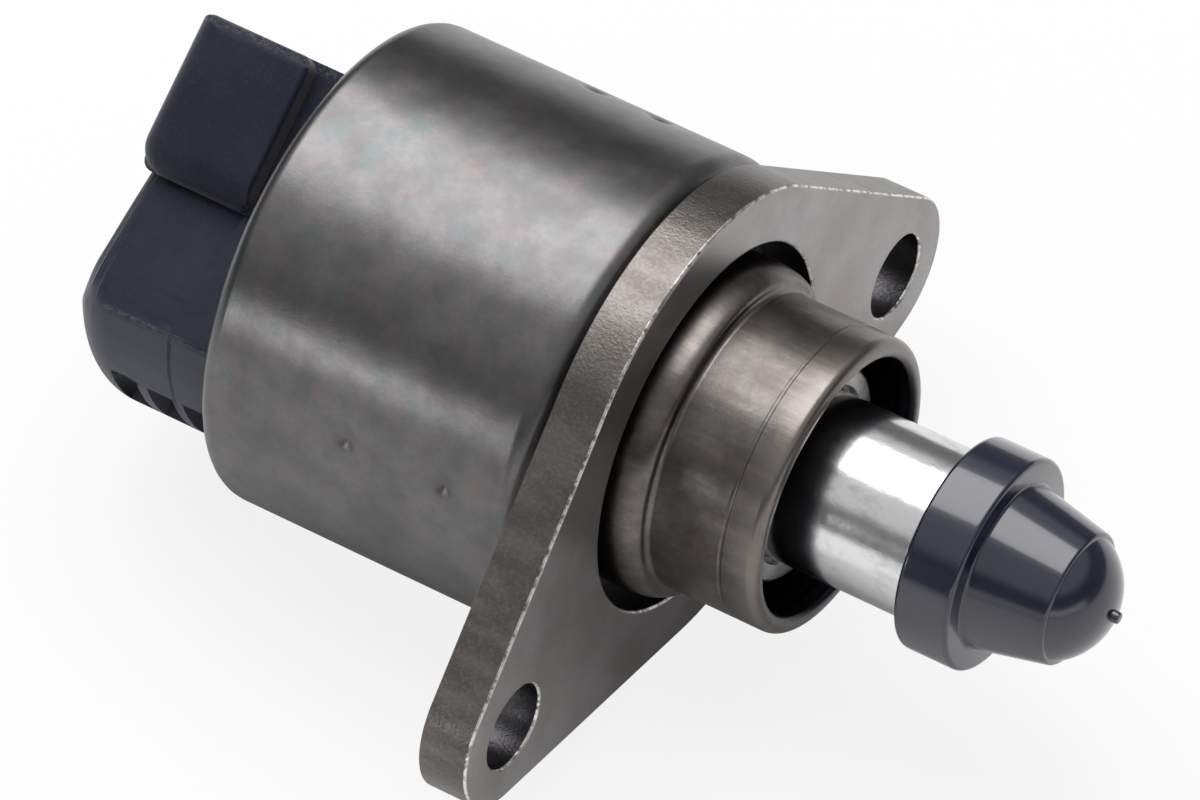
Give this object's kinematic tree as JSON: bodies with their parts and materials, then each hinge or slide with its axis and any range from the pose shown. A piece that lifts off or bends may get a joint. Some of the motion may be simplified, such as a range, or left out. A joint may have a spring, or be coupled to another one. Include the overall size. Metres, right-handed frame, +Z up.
{
  "type": "idle air control valve",
  "caption": "Idle air control valve: a round steel stepper motor can with a two-bolt flange, a nose tube, a sliding bright plunger with a black pintle, and a moulded rear cover with a socket.",
  "frame": {"origin": "on the valve axis, in the mounting face of the flange", "axes": "+X along the valve axis towards the pintle, +Y along the line of the two bolt holes, +Z up, away from the bolt line"},
  "size_m": [0.0741, 0.0592, 0.035],
  "materials": {
    "can_steel": "satin gunmetal plating with faint mottling",
    "flange_steel": "satin plated plate with a rough blanked edge",
    "nose_steel": "satin drawn tube with a polished lip",
    "black_moulding": "fine speckled moulding",
    "tinned_brass": "tinned strip",
    "stator_steel": "zinc plated sheet",
    "bobbin_plastic": "natural moulding",
    "copper_wire": "enamelled wire, wound",
    "bearing_steel": "ground bright",
    "bronze": "turned",
    "guide_metal": "turned face",
    "magnet": "pressed ferrite",
    "bright_sleeve": "ground and polished",
    "pintle_plastic": "satin gloss moulding"
  },
  "bodies": {
    "housing": {"can": "can_steel", "flange": "flange_steel", "nose_tube": "nose_steel", "rear_cover": "black_moulding", "terminal_1": "tinned_brass", "terminal_2": "tinned_brass", "terminal_3": "tinned_brass", "terminal_4": "tinned_brass", "front_outer_cup": "stator_steel", "front_inner_cup": "stator_steel", "rear_inner_cup": "stator_steel", "rear_outer_cup": "stator_steel", "front_bobbin": "bobbin_plastic", "rear_bobbin": "bobbin_plastic", "front_winding": "copper_wire", "rear_winding": "copper_wire", "bearing_plate": "stator_steel", "bearing_outer_race": "bearing_steel", "rear_bush": "bronze", "wave_washer": "bearing_steel", "guide_bush": "guide_metal"},
    "rotor": {"rotor_hub": "bobbin_plastic", "ring_magnet": "magnet", "nut_insert": "bronze", "bearing_inner_race": "bearing_steel"},
    "ball_cage": {"bearing_balls": "bearing_steel", "bearing_cage": "tinned_brass"},
    "plunger": {"lead_screw": "bearing_steel", "plunger_core": "bobbin_plastic", "plunger_sleeve": "bright_sleeve", "pintle": "pintle_plastic"}
  },
  "joints": [
    {"name": "rotor_spin", "type": "hinge", "parent": "housing", "child": "rotor", "pos_m": [-0.017, 0, 0], "axis": [1, 0, 0], "range_deg": [-2160, 720]},
    {"name": "plunger_slide", "type": "slide", "parent": "housing", "child": "plunger", "axis": [1, 0, 0], "range_m": [-0.006, 0.002]},
    {"name": "cage_spin", "type": "hinge", "parent": "housing", "child": "ball_cage", "pos_m": [-0.0078, 0, 0], "axis": [1, 0, 0], "range_deg": [-876, 293]}
  ],
  "couplings": [
    {"joint": "plunger_slide", "follows": "rotor_spin", "m_per_rad": 0.000159},
    {"joint": "cage_spin", "follows": "rotor_spin", "ratio": 0.4048}
  ]
}
